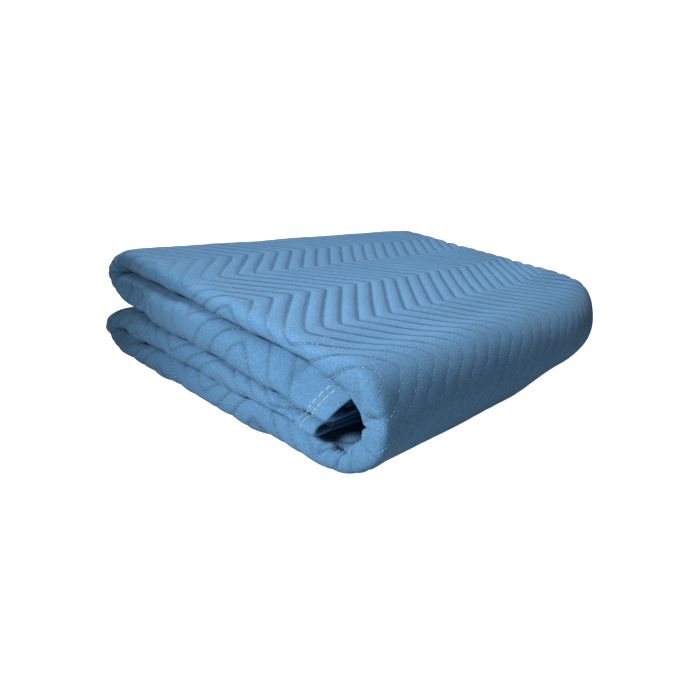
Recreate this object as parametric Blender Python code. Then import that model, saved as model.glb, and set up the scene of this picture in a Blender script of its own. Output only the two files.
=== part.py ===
"""Quilted moving blanket, folded for the shelf.

The blanket is one quilted sheet.  It is first folded in three across its
width: the middle panel c lies between panel a, which shows, and panel b.
The long strip of three layers is then turned over itself: both ends lie in
the middle, the two runs are closed on each other, and the great front fold
is left open as a tunnel.  The section below is that strip, seen along X.

X runs along the great fold, -X being the face where the folds of the three
panels show; Y runs from the great front fold to the back; Z is up.
"""

import math

import bmesh
import bpy

# ---------------------------------------------------------------- sizes (m)
HEIGHT = 0.133            # folded stack, at the middle of the plan
LEAN_BACK = 0.035         # rise of the top for each metre of Y
LEAN_SIDE = -0.022        # and for each metre of X
CORNER_IN = 0.070         # how far the right front corner is pressed in
CORNER_FROM_X = 0.120     # from here to the right end
CORNER_OVER_X = 0.215
CORNER_FROM_Y = 0.100     # and from here to the front
CORNER_OVER_Y = 0.355
CLOTH = 0.0075            # quilted sheet, crest to crest
CLOTH_EDGE = 0.0045       # where the binding squeezes it
GAP = 0.002               # between two runs of the strip
PITCH = 0.0284            # from one row of quilting to the next, along X
BAND = 0.0924             # from one row of turns to the next, along the strip
STEPS = 7                 # steps in a band; the rows shift half a pitch a step
QUILT_DEPTH = 0.0032      # how far the stitches pull the face in
QUILT_ROUND = 0.6         # under 1 makes the tubes between the rows fuller
QUILT_ON_FOLDS = 0.5      # share of that depth on the folds of the panels
FIRST_TURN_Y = -0.125     # first row of turns on the top
ROW_AT_X = -0.392         # a row of quilting meets the first turns here
FIRST_ROW = 3.25          # the folds of the panels start at these rows,
LAST_ROW = 25.25          # counted in pitches from there

BINDING_WIDTH = 0.028
BINDING_THICK = 0.0008
BINDING_EASE = 0.0003
TAPER = 0.012             # the sheet swells to its full loft in this width

MIDDLE_EDGE_IN = 0.026    # middle panel's raw edge, in from the left fold
INNER_EDGE_IN = 0.012     # inner panel's raw edge, in from the right fold

UPPER_HEM_Y = -0.193      # ends of the strip, inside the great fold
LOWER_HEM_Y = -0.180
FRONT_CENTRE_Y = -0.193   # where the top starts to round into the great fold
BACK_CENTRE_Y = 0.203     # where the strips start to round at the back

#         thickness,     left fold (X),    right fold (X), each
#         at the front and at the back
RUNS = {
    "upper":  (0.038, 0.039, -0.334, -0.338, 0.334, 0.334),
    "top":    (0.034, 0.031, -0.324, -0.320, 0.338, 0.338),
    "bottom": (0.030, 0.028, -0.318, -0.333, 0.330, 0.336),
    "lower":  (0.025, 0.029, -0.330, -0.335, 0.329, 0.333),
}

#        bend       depth outside, inside    squareness
BENDS = {
    "upper_back": (0.0522, 0.0040, 1.00),
    "front":      (0.062, 0.0310, 0.95),
    "lower_back": (0.0522, 0.0040, 1.00),
}
#        bend       ends drawn in at the left, right fold, within this reach
DRAWN_IN = {
    "upper_back": (0.004, 0.012, 0.16),
    "front":      (0.010, 0.030, 0.17),
    "lower_back": (0.004, 0.012, 0.16),
}

PLAIN_LEFT = -0.320       # folds further out than these crowd no quilting
PLAIN_RIGHT = 0.333
CROWD_FROM = 0.060        # where the crowding starts, out from the middle
CROWD_OVER = 0.260        # and the width that it takes
PANEL_LINES = (0.120, 0.230)    # plain lines across a panel (X)
LEFT_FOLD_STEPS = 6
RIGHT_FOLD_STEPS = 4
RUN_EVERY = 10            # plain lines along a run, every so many steps
BEND_EVERY = {"upper_back": 1, "front": 2, "lower_back": 1}


# ------------------------------------------------------- section of the strip
def levels():
    """Height of each run's outer and inner face, at the front and the back."""
    table = {}
    floor = [0.0, 0.0]
    for name in ("bottom", "lower", "upper", "top"):
        thick = RUNS[name][:2]
        low = tuple(floor)
        high = tuple(floor[k] + thick[k] for k in (0, 1))
        flip = name in ("lower", "top")
        table[name] = (high, low) if flip else (low, high)
        floor = [high[k] + GAP for k in (0, 1)]
    return table


LEVELS = levels()


def ease(f):
    return f * f * (3.0 - 2.0 * f)


def run(name, y_from, y_to, rows=40):
    """A run of the strip: (outer Y, Z, inner Y, Z, left fold, right fold)."""
    outer, inner = LEVELS[name]
    left, right = RUNS[name][2:4], RUNS[name][4:6]
    points = []
    for k in range(rows + 1):
        y = y_from + (y_to - y_from) * k / rows
        f = ease(min(max((y - FRONT_CENTRE_Y)
                         / (BACK_CENTRE_Y - FRONT_CENTRE_Y), 0.0), 1.0))
        z_outer = outer[0] + (outer[1] - outer[0]) * f
        z_inner = inner[0] + (inner[1] - inner[0]) * f
        points.append((y, z_outer, y, z_inner,
                       left[0] + (left[1] - left[0]) * f,
                       right[0] + (right[1] - right[0]) * f))
    return points


def bend(name, centre_y, side, start, stop, rows=48):
    """A half turn between the last point of one run and the first of the next."""
    deep_outer, deep_inner, square = BENDS[name]
    points = []
    for k in range(1, rows):
        turn = math.pi * (k / rows - 0.5)
        out = max(math.cos(turn), 0.0) ** square
        rise = math.copysign(abs(math.sin(turn)) ** square, turn)
        f = 0.5 + 0.5 * rise
        g = 0.5 + 0.5 * math.sin(turn)
        points.append((
            centre_y + side * deep_outer * out,
            start[1] + (stop[1] - start[1]) * f,
            centre_y + side * deep_inner * math.cos(turn),
            start[3] + (stop[3] - start[3]) * g,
            start[4] + (stop[4] - start[4]) * ease(k / rows),
            start[5] + (stop[5] - start[5]) * ease(k / rows)))
    return points


def strip_section():
    """The whole strip from hem to hem, with its length so far on each row."""
    over = 0.004
    upper = run("upper", UPPER_HEM_Y - over, BACK_CENTRE_Y)
    top = run("top", BACK_CENTRE_Y, FRONT_CENTRE_Y)
    bottom = run("bottom", FRONT_CENTRE_Y, BACK_CENTRE_Y)
    lower = run("lower", BACK_CENTRE_Y, LOWER_HEM_Y - over)
    points = list(upper)
    marks = {}
    for name, centre, side, following in (
            ("upper_back", BACK_CENTRE_Y, 1.0, top),
            ("front", FRONT_CENTRE_Y, -1.0, bottom),
            ("lower_back", BACK_CENTRE_Y, 1.0, lower)):
        first = len(points) - 1
        points += bend(name, centre, side, points[-1], following[0])
        marks[name] = (first, len(points))
        points += following
    length = [-over]
    for a, b in zip(points, points[1:]):
        length.append(length[-1] + math.hypot(b[0] - a[0], b[1] - a[1]))
    ends = {key: (length[a], length[b]) for key, (a, b) in marks.items()}
    return points, length, ends, length[-1] - over


SECTION, LENGTH, BEND_AT, STRIP = strip_section()


def station(s):
    """Section values at the length s along the outer face of the strip."""
    low, high = 0, len(LENGTH) - 1
    while high - low > 1:
        mid = (low + high) // 2
        if LENGTH[mid] <= s:
            low = mid
        else:
            high = mid
    f = (s - LENGTH[low]) / (LENGTH[high] - LENGTH[low])
    row = [a + (b - a) * f for a, b in zip(SECTION[low], SECTION[high])]
    for name, (pull_left, pull_right, reach) in DRAWN_IN.items():
        middle = sum(BEND_AT[name]) / 2
        share = ease(max(1.0 - abs(s - middle) / reach, 0.0))
        row[4] += pull_left * share
        row[5] -= pull_right * share
    return row


def length_at_top(y):
    """Length along the strip where the top run passes the given Y."""
    back = BEND_AT["upper_back"][1]
    return back + (BACK_CENTRE_Y - y)


# --------------------------------------------------------- fold of the panels
def crowded(x, left, right):
    """Shift of a point of a panel where the folds are drawn in."""
    near_left = ease(min(max((CROWD_FROM + x) / -CROWD_OVER, 0.0), 1.0))
    near_right = ease(min(max((x - CROWD_FROM) / CROWD_OVER, 0.0), 1.0))
    return (near_left * max(left - PLAIN_LEFT, 0.0)
            + near_right * min(right - PLAIN_RIGHT, 0.0))


def sheet_place(where, thick, left, right):
    """Centre line of the three panels in a strip: (x, depth, normal x, depth).

    where is (panel, value): the value is X on a panel, or the share of the
    turn on a fold.
    """
    depth_a = CLOTH / 2
    depth_c = thick / 2
    depth_b = thick - CLOTH / 2
    panel, value = where
    if panel in ("a", "b", "c"):
        depth = {"a": depth_a, "b": depth_b, "c": depth_c}[panel]
        x = value + crowded(value, left, right)
        return x, depth, 0.0, -1.0 if panel == "a" else 1.0
    if panel == "right":
        radius = (depth_c - depth_a) / 2
        turn = math.pi * (0.5 - value)
        centre = (right - CLOTH / 2 - radius, (depth_c + depth_a) / 2)
    else:
        radius = (depth_b - depth_a) / 2
        turn = math.pi * (-0.5 - value)
        centre = (left + CLOTH / 2 + radius, thick / 2)
    nx, nd = math.cos(turn), math.sin(turn)
    return centre[0] + radius * nx, centre[1] + radius * nd, nx, nd


def edge_x(panel, left, right):
    """X of the raw edge of the middle or the inner panel."""
    return left + MIDDLE_EDGE_IN if panel == "c" else right - INNER_EDGE_IN


def inward(panel):
    """Direction from the raw edge into the panel."""
    return 1.0 if panel == "c" else -1.0


def cross_lines():
    """Lines across the sheet, from the middle panel's edge to the inner's."""
    lines = []
    for reach in (0.0, BINDING_WIDTH, BINDING_WIDTH + TAPER):
        lines.append(("c edge", reach, True))
    lines += [("c", x, True) for x in PANEL_LINES]
    lines += [("right", k / RIGHT_FOLD_STEPS, True)
              for k in range(RIGHT_FOLD_STEPS + 1)]
    plain = sorted(PANEL_LINES, reverse=True)
    halves = range(int(2 * LAST_ROW), math.ceil(2 * FIRST_ROW) - 1, -1)
    fine = [ROW_AT_X + PITCH / 2 * k for k in halves]
    near = [min(fine, key=lambda x: abs(x - p)) for p in plain]
    lines += [("a", x, x in near) for x in fine]
    lines += [("left", k / LEFT_FOLD_STEPS, True)
              for k in range(LEFT_FOLD_STEPS + 1)]
    lines += [("b", x, True) for x in PANEL_LINES]
    for reach in (BINDING_WIDTH + TAPER, BINDING_WIDTH, 0.0):
        lines.append(("b edge", reach, True))
    return lines


def length_lines():
    """Lines along the strip: (length, plain line?), a step of a band apart."""
    step = BAND / STEPS
    turn = length_at_top(FIRST_TURN_Y)
    ends = (0.0, BINDING_WIDTH, BINDING_WIDTH + TAPER)
    first = math.ceil((ends[-1] + step / 2 - turn) / step)
    last = math.floor((STRIP - ends[-1] - step / 2 - turn) / step)
    lines = [(s, True) for s in ends]
    since = 0
    for k in range(first, last + 1):
        s = turn + k * step
        since += 1
        every = RUN_EVERY
        for name, (a, b) in BEND_AT.items():
            if a - step < s < b + step:
                every = BEND_EVERY[name]
        plain = since >= every
        if plain:
            since = 0
        lines.append((s, plain))
    return lines + [(STRIP - s, True) for s in reversed(ends)]


CROSS = cross_lines()
ALONG = length_lines()
QUILT_START, QUILT_STOP = BEND_AT["upper_back"][0], BEND_AT["front"][1]


# ------------------------------------------------------------ quilting relief
def turn_shift(s):
    """How far the zigzag has moved along X at the length s."""
    bands = (length_at_top(FIRST_TURN_Y) - s) / BAND
    phase = bands % 2.0
    share = phase if phase <= 1.0 else 2.0 - phase
    return share * STEPS * PITCH / 2


def band_rises(s0, s1):
    bands = (length_at_top(FIRST_TURN_Y) - (s0 + s1) / 2) / BAND
    return (bands % 2.0) <= 1.0


def quilt_loss(s, x):
    """Depth by which the stitches pull the face in at a point."""
    rows = (x - turn_shift(s) - ROW_AT_X) / PITCH
    away = abs(rows - round(rows)) * 2.0
    puff = math.sin(math.pi / 2 * away) ** QUILT_ROUND if away > 1e-6 else 0.0
    return QUILT_DEPTH * (1.0 - puff)


def swell(reach):
    """0 under the binding, 1 at full loft."""
    return min(max((reach - BINDING_WIDTH) / TAPER, 0.0), 1.0)


# ------------------------------------------------------------- folded surface
def settle(x, y, z):
    """Lean of the top, and the right front corner pressed in to a round."""
    along = min(max((x - CORNER_FROM_X) / CORNER_OVER_X, 0.0), 1.2)
    across = max((CORNER_FROM_Y - y) / CORNER_OVER_Y, 0.0)
    y += CORNER_IN * along ** 2.0 * across ** 1.5
    return x, y, z * (1.0 + (LEAN_BACK * y + LEAN_SIDE * x) / HEIGHT)


def fold_point(s, panel, value, off):
    """A point of the folded sheet, off its centre line by the given offset."""
    oy, oz, iy, iz, left, right = station(s)
    thick = math.hypot(iy - oy, iz - oz)
    edge = panel.endswith("edge")
    x, depth, nx, nd = sheet_place((panel[0] if edge else panel, value),
                                   thick, left, right)
    if edge:
        x = edge_x(panel[0], left, right) + inward(panel[0]) * value
    x += off * nx
    share = (depth + off * nd) / thick
    return settle(x, oy + (iy - oy) * share, oz + (iz - oz) * share)


def loft(s, line):
    """Share of the full loft at a point, low under the bindings."""
    share = min(swell(s), swell(STRIP - s))
    if line[0].endswith("edge"):
        share = min(share, swell(line[1]))
    return share


def quilted_x(line):
    """X of a quilted line, rolled out flat round the folds of the panels."""
    panel, value = line[:2]
    if panel == "left":
        return ROW_AT_X + PITCH * (FIRST_ROW - LEFT_FOLD_STEPS * value / 4)
    if panel == "right":
        return ROW_AT_X + PITCH * (LAST_ROW + RIGHT_FOLD_STEPS
                                   * (1.0 - value) / 4)
    return value


def sheet_vertex(s, line, face):
    """A vertex of the outer (+1) or the inner (-1) face of the cloth."""
    half = (CLOTH_EDGE + (CLOTH - CLOTH_EDGE) * loft(s, line)) / 2
    if face > 0 and line[0] in ("a", "left", "right"):
        shows = QUILT_START - 1e-6 <= s <= QUILT_STOP + 1e-6
        if shows or (line[0] == "left" and loft(s, line) > 0.99):
            share = 1.0 if line[0] == "a" else QUILT_ON_FOLDS
            half -= share * quilt_loss(s, quilted_x(line))
    return fold_point(s, line[0], line[1], face * half)


def is_fine(i0, i1, j0, j1):
    """Whether a plain cell of the outer face is split to show the quilting."""
    kinds = {CROSS[j0][0], CROSS[j1][0]}
    s0, s1 = ALONG[i0][0], ALONG[i1][0]
    if min(s0, STRIP - s1) < BINDING_WIDTH + TAPER - 1e-6:
        return False
    if kinds <= {"left"}:
        return True
    if kinds <= {"a", "left", "right"}:
        return s1 > QUILT_START and s0 < QUILT_STOP
    return False


def add_face(mesh, store, face):
    """Build one face of the sheet as triangles."""
    plain_i = [i for i, row in enumerate(ALONG) if row[1]]
    plain_j = [j for j, row in enumerate(CROSS) if row[2]]
    cells = [(i0, i1, j0, j1) for i0, i1 in zip(plain_i, plain_i[1:])
             for j0, j1 in zip(plain_j, plain_j[1:])]

    def vertex(i, j):
        key = (face, i, j)
        if key not in store:
            store[key] = mesh.verts.new(
                sheet_vertex(ALONG[i][0], CROSS[j], face))
        return store[key]

    def triangle(*corners):
        mesh.faces.new(corners if face > 0 else corners[::-1])

    plain = []
    for cell in cells:
        i0, i1, j0, j1 = cell
        if face < 0 or not is_fine(*cell):
            plain.append(cell)
            continue
        for i in range(i0, i1):
            rises = band_rises(ALONG[i][0], ALONG[i + 1][0])
            for j in range(j0, j1):
                a, b = vertex(i, j), vertex(i, j + 1)
                c, d = vertex(i + 1, j + 1), vertex(i + 1, j)
                if rises:
                    triangle(a, b, c)
                    triangle(a, c, d)
                else:
                    triangle(a, b, d)
                    triangle(b, c, d)
    for i0, i1, j0, j1 in plain:
        ring = [(i0, j) for j in range(j0, j1)]
        ring += [(i, j1) for i in range(i0, i1)]
        ring += [(i1, j) for j in range(j1, j0, -1)]
        ring += [(i, j0) for i in range(i1, i0, -1)]
        corners = {(i0, j0), (i0, j1), (i1, j1), (i1, j0)}
        ring = [k for k in ring if k in corners or (face,) + k in store]
        points = [vertex(*k) for k in ring]
        if len(points) == 4:
            triangle(points[0], points[1], points[2])
            triangle(points[0], points[2], points[3])
            continue
        box = [vertex(*k).co for k in corners]
        hub = mesh.verts.new(sum(box[1:], box[0].copy()) / 4)
        for p, q in zip(points, points[1:] + points[:1]):
            triangle(hub, p, q)


def join_rims(mesh, store):
    """Close the raw edges between the two faces of the sheet."""
    plain_i = [i for i, row in enumerate(ALONG) if row[1]]
    plain_j = [j for j, row in enumerate(CROSS) if row[2]]
    rim = [(plain_i[0], j) for j in plain_j]
    rim += [(i, plain_j[-1]) for i in plain_i[1:]]
    rim += [(plain_i[-1], j) for j in plain_j[-2::-1]]
    rim += [(i, plain_j[0]) for i in plain_i[-2:0:-1]]
    for p, q in zip(rim, rim[1:] + rim[:1]):
        a, b = store[(1,) + p], store[(1,) + q]
        c, d = store[(-1,) + q], store[(-1,) + p]
        mesh.faces.new((b, a, d))
        mesh.faces.new((b, d, c))


def finish(mesh, name, material):
    bmesh.ops.recalc_face_normals(mesh, faces=mesh.faces)
    if mesh.calc_volume(signed=True) < 0.0:
        bmesh.ops.reverse_faces(mesh, faces=mesh.faces)
    data = bpy.data.meshes.new(name)
    mesh.to_mesh(data)
    mesh.free()
    data.materials.append(material)
    obj = bpy.data.objects.new(name, data)
    bpy.context.scene.collection.objects.link(obj)
    data.shade_smooth()
    data.set_sharp_from_angle(angle=math.radians(40))
    return obj


def quilted_sheet(material):
    mesh = bmesh.new()
    store = {}
    add_face(mesh, store, 1)
    add_face(mesh, store, -1)
    join_rims(mesh, store)
    return finish(mesh, "quilted_blanket", material)


# ------------------------------------------------------------------- bindings
def channel_profile():
    """Binding folded over a raw edge: (reach into the sheet, offset)."""
    inner = CLOTH_EDGE / 2 + BINDING_EASE
    outer = inner + BINDING_THICK
    past = -BINDING_EASE
    end = past - BINDING_THICK
    return [(BINDING_WIDTH, outer), (end, outer), (end, -outer),
            (BINDING_WIDTH, -outer), (BINDING_WIDTH, -inner),
            (past, -inner), (past, inner), (BINDING_WIDTH, inner)]


def channel(name, rows, material):
    """Join the sections of a binding into one closed body."""
    mesh = bmesh.new()
    rings = [[mesh.verts.new(p) for p in row] for row in rows]
    for a, b in zip(rings, rings[1:]):
        for k in range(len(a)):
            n = (k + 1) % len(a)
            mesh.faces.new((a[k], a[n], b[n]))
            mesh.faces.new((a[k], b[n], b[k]))
    for ring, flip in ((rings[0], True), (rings[-1], False)):
        quads = ((0, 1, 6, 7), (1, 2, 5, 6), (2, 3, 4, 5))
        for quad in quads:
            corners = [ring[k] for k in quad]
            if flip:
                corners.reverse()
            mesh.faces.new(corners[:3])
            mesh.faces.new((corners[0], corners[2], corners[3]))
    return finish(mesh, name, material)


def side_binding(name, panel, material):
    """Binding along a long side, between the two end bindings."""
    clear = BINDING_WIDTH + BINDING_EASE * 2
    plain = [s for s, is_plain in ALONG if is_plain]
    stops = [clear] + [s for s in plain if clear < s < STRIP - clear]
    stops.append(STRIP - clear)
    rows = []
    for s in stops:
        rows.append([fold_point(s, panel + " edge", reach, off)
                     for reach, off in channel_profile()])
    return channel(name, rows, material)


def end_binding(name, at_start, material):
    """Binding across a hem, round the folds of the three panels."""
    rows = []
    for line in CROSS:
        if not line[2]:
            continue
        row = []
        for reach, off in channel_profile():
            s = reach if at_start else STRIP - reach
            row.append(fold_point(s, line[0], line[1], off))
        rows.append(row)
    return channel(name, rows, material)


def felt(name, colour, roughness):
    material = bpy.data.materials.new(name)
    material.use_nodes = True
    shader = material.node_tree.nodes["Principled BSDF"]
    shader.inputs["Base Color"].default_value = (*colour, 1.0)
    shader.inputs["Roughness"].default_value = roughness
    shader.inputs["Metallic"].default_value = 0.0
    return material


def main():
    for obj in list(bpy.data.objects):
        bpy.data.objects.remove(obj, do_unlink=True)
    quilted_sheet(felt("blue_felt", (0.105, 0.245, 0.430), 0.95))
    for name, kind, at in (
            ("binding_side_middle", side_binding, "c"),
            ("binding_side_inner", side_binding, "b"),
            ("binding_end_upper", end_binding, True),
            ("binding_end_lower", end_binding, False)):
        kind(name, at, felt(name + "_felt", (0.130, 0.300, 0.520), 0.9))


main()
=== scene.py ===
# %% [markdown]
# # A quilted moving blanket, folded for the shelf
# A moving blanket is two faces of needled felt with a thin batt between them,
# sewn together with long parallel zigzag rows. This one is folded in three
# across its width and then turned over itself, with both hems hidden inside
# the great front fold. The lesson builds it as one sheet of cloth: first a
# map that says where each point of the flat blanket goes, then the quilting
# on that map, then the binding, the thread and the felt.

# %% Open the frame
import math

import bmesh
import bpy
import numpy as np
from mathutils import Matrix, Vector


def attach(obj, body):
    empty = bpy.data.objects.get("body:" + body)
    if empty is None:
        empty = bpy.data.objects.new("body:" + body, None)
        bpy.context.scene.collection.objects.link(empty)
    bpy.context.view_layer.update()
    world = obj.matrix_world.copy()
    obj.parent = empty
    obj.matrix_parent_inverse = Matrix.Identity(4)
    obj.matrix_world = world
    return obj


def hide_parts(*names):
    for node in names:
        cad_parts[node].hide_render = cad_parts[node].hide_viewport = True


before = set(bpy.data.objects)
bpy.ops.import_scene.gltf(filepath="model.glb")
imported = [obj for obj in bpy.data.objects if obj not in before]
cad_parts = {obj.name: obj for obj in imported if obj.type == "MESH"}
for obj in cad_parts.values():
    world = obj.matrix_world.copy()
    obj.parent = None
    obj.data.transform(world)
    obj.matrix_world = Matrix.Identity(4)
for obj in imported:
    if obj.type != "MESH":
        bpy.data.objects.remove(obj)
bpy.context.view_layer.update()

bpy.ops.object.select_all(action="DESELECT")

# %% [markdown]
# ## The camera
# The camera stands a little above the near corner of the stack, so that the
# layered face, the great fold and the top all show. Its place and its three
# axes are written out as numbers, because a camera that is only "pointed at"
# something can't be leant to one side, and a hand-held one always leans a bit.

# %% Place the camera
ahead = Vector((0.7111, 0.6033, -0.3611)).normalized()
right = Vector((0.6730, -0.7327, 0.1014))
right = (right - ahead * right.dot(ahead)).normalized()
turn = Matrix((right, right.cross(ahead), -ahead)).transposed().to_4x4()
camera = bpy.data.objects.new("camera", bpy.data.cameras.new("camera"))
camera.data.lens, camera.data.sensor_width = 31.184, 36.0
camera.matrix_world = Matrix.Translation((-0.7185, -0.5479, 0.3478)) @ turn
bpy.context.scene.collection.objects.link(camera)
bpy.context.scene.camera = camera
print("camera height", round(camera.location.z, 3), "m, lens", camera.data.lens)

# %% [markdown]
# ## Floor and light
# Three lamps are enough for cloth. A big soft one above and behind shows the
# puffed ribs of the quilting as gentle bands, a soft spot from the left lifts
# the layered face, and a faint one near the floor fills the great fold, which
# stays in half shade. The floor and the world look white to the camera, but
# they shine only a little, because light from everywhere would flatten cloth.

# %% Lay the floor and hang the lamps
FLOOR_GREY, FLOOR_LIGHT, WORLD_LIGHT, SEEN_WHITE = 0.35, 0.10, 0.09, 1.05
WHITE = (1.0, 1.0, 1.0, 1.0)


def white_to_camera(tree, target, dim):
    """Sets a strength: white in the picture itself, dim as light on the cloth."""
    ray = tree.nodes.new("ShaderNodeLightPath")
    grade = tree.nodes.new("ShaderNodeMapRange")
    grade.inputs["To Min"].default_value = dim
    grade.inputs["To Max"].default_value = SEEN_WHITE
    tree.links.new(ray.outputs["Is Camera Ray"], grade.inputs["Value"])
    tree.links.new(grade.outputs[0], target)


def hang(name, kind, at, aim, **settings):
    """Hangs a lamp at one place, facing another."""
    data = bpy.data.lights.new(name, kind)
    for key, value in settings.items():
        setattr(data, key, value)
    obj = bpy.data.objects.new(name, data)
    obj.location = at
    obj.rotation_euler = (Vector(aim) - Vector(at)).to_track_quat("-Z", "Y").to_euler()
    bpy.context.scene.collection.objects.link(obj)


bpy.ops.mesh.primitive_plane_add(size=30.0, location=(0.0, 0.0, 0.0))
floor = bpy.context.object
floor.name = "floor"
pale = bpy.data.materials.new("pale_floor")
pale.use_nodes = True
floor.data.materials.append(pale)
shader = pale.node_tree.nodes["Principled BSDF"]
for socket, value in (("Base Color", (FLOOR_GREY, FLOOR_GREY, FLOOR_GREY, 1.0)),
                      ("Roughness", 0.9), ("Emission Color", WHITE)):
    shader.inputs[socket].default_value = value
white_to_camera(pale.node_tree, shader.inputs["Emission Strength"], FLOOR_LIGHT)
world = bpy.data.worlds.new("studio")
world.use_nodes = True
background = world.node_tree.nodes["Background"]
background.inputs["Color"].default_value = WHITE
white_to_camera(world.node_tree, background.inputs["Strength"], WORLD_LIGHT)
bpy.context.scene.world = world
hang("over_lamp", "AREA", (0.16, 0.60, 1.32), (0.03, 0.0, 0.1),
     shape="DISK", size=0.7, energy=27.5, color=(0.95, 0.985, 1.0))
hang("key_lamp", "SPOT", (-1.48, 0.0, 0.90), (-0.10, -0.290, 0.08),
     energy=205.0, color=(0.90, 0.975, 1.0), shadow_soft_size=0.20,
     spot_size=math.radians(42.0), spot_blend=1.0)
hang("fill_lamp", "AREA", (-0.30, -1.00, 0.03), (-0.10, -0.20, 0.03),
     shape="DISK", size=0.5, energy=2.4, color=(0.95, 0.98, 1.0))
bpy.context.scene.view_settings.view_transform = "Standard"
bpy.ops.object.select_all(action="DESELECT")
print("floor laid,", len(bpy.data.lights), "lamps hung")

# %% [markdown]
# ## The sizes of the folded blanket
# The folds have the same sizes as in the solid model, so the cloth lies where
# the solids are. It is only worked finer here: the quilting is deeper and the
# pressed corner has more shape. Everything later is worked out from these
# sizes: change the thickness of one layer here and the folds, the rows and the
# thread all follow.

# %% Sizes, in metres
HEIGHT, LEAN_BACK, LEAN_SIDE = 0.133, 0.035, -0.022
CORNER_IN = 0.070         # how far the right front corner is pressed in
CORNER_FROM_X, CORNER_OVER_X = 0.120, 0.215
CORNER_FROM_Y, CORNER_OVER_Y = 0.100, 0.355
CLOTH, CLOTH_EDGE, GAP = 0.0075, 0.0045, 0.002
PITCH, BAND = 0.0284, 0.0924       # rows along X, and a band of the zigzag
CLIMB, BAND_STEPS = 3.5, 28        # pitches that a row climbs in a band, in steps
FIRST_TURN_Y, ROW_AT_X = -0.125, -0.384
BINDING_WIDTH, BINDING_THICK, BINDING_EASE = 0.028, 0.0008, 0.0003
TAPER = 0.012
MIDDLE_EDGE_IN, INNER_EDGE_IN = 0.026, 0.012
UPPER_HEM_Y, LOWER_HEM_Y = -0.193, -0.180
FRONT_CENTRE_Y, BACK_CENTRE_Y = -0.193, 0.203
#        thickness, left fold X, right fold X: each at the front, the back
RUNS = {
    "upper":  (0.038, 0.039, -0.334, -0.338, 0.334, 0.334),
    "top":    (0.034, 0.031, -0.324, -0.320, 0.338, 0.338),
    "bottom": (0.030, 0.028, -0.318, -0.333, 0.330, 0.336),
    "lower":  (0.025, 0.029, -0.330, -0.335, 0.329, 0.333),
}
#        depth outside, inside, squareness; folds drawn in at the left, the
#        right, within this reach
BENDS = {
    "upper_back": (0.0522, 0.0040, 1.00, 0.004, 0.012, 0.16),
    "front":      (0.0620, 0.0310, 0.95, 0.010, 0.030, 0.17),
    "lower_back": (0.0522, 0.0040, 1.00, 0.004, 0.012, 0.16),
}
CROWD_FROM, CROWD_OVER = 0.060, 0.260  # where the panels make up for uneven folds
print("a zigzag row climbs", round(CLIMB * PITCH * 1000, 1), "mm in a band")

# %% [markdown]
# ## The strip, seen from its end
# Folded in three, the blanket is a long strip of three layers. Its section is
# four straight runs joined by three half turns. The runs and turns are written
# as a list of points with the length along the cloth beside each one, so a
# place on the strip is looked up by how far it is from the first hem.

# %% Work out the section of the strip
RUN_PARTS, BEND_PARTS = 40, 48     # pieces that a run and a half turn are cut into
HEM_OVER = 0.004          # the section is a little longer than the cloth


def ease(f):
    """From 0 to 1 with a soft start and a soft end."""
    return f * f * (3.0 - 2.0 * f)


def grow(value, start, over):
    """Eases from 0 at the start to 1 this far past it."""
    return ease(np.clip((value - start) / over, 0, 1))


def fade(value, stop, over):
    """Eases from 1 this far before the stop to 0 at it."""
    return ease(np.clip((stop - value) / over, 0, 1))


def mound(value, middle, width):
    """A soft mound, 1 at its middle."""
    return np.exp(-((value - middle) / width) ** 2)


def levels():
    """Heights of each run's outer and inner face, at the front and the back."""
    table, floor_at = {}, [0.0, 0.0]
    for name in ("bottom", "lower", "upper", "top"):
        low = tuple(floor_at)
        high = tuple(floor_at[k] + RUNS[name][k] for k in (0, 1))
        table[name] = (high, low) if name in ("lower", "top") else (low, high)
        floor_at = [high[k] + GAP for k in (0, 1)]
    return table


LEVELS = levels()


def run(name, y_from, y_to):
    """A run: outer Y and Z, inner Y and Z, left fold X, right fold X."""
    y = np.linspace(y_from, y_to, RUN_PARTS + 1)
    back = grow(y, FRONT_CENTRE_Y, BACK_CENTRE_Y - FRONT_CENTRE_Y)
    pairs = (*LEVELS[name], RUNS[name][2:4], RUNS[name][4:])
    z_outer, z_inner, x_left, x_right = (p[0] + (p[1] - p[0]) * back for p in pairs)
    return np.stack([y, z_outer, y, z_inner, x_left, x_right], 1)


def bend(name, centre_y, side, start, stop):
    """A half turn from the last point of one run to the first of the next."""
    deep_outer, deep_inner, square = BENDS[name][:3]
    k = np.arange(1, BEND_PARTS) / BEND_PARTS
    turn = math.pi * (k - 0.5)
    out, fall = np.cos(turn), np.sin(turn)

    def between(column, share):
        return start[column] + (stop[column] - start[column]) * share

    outer_share = 0.5 + 0.5 * np.sign(fall) * abs(fall) ** square
    return np.stack([centre_y + side * deep_outer * out ** square,
                     between(1, outer_share),
                     centre_y + side * deep_inner * out,
                     between(3, 0.5 + 0.5 * fall),
                     between(4, ease(k)), between(5, ease(k))], 1)


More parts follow.
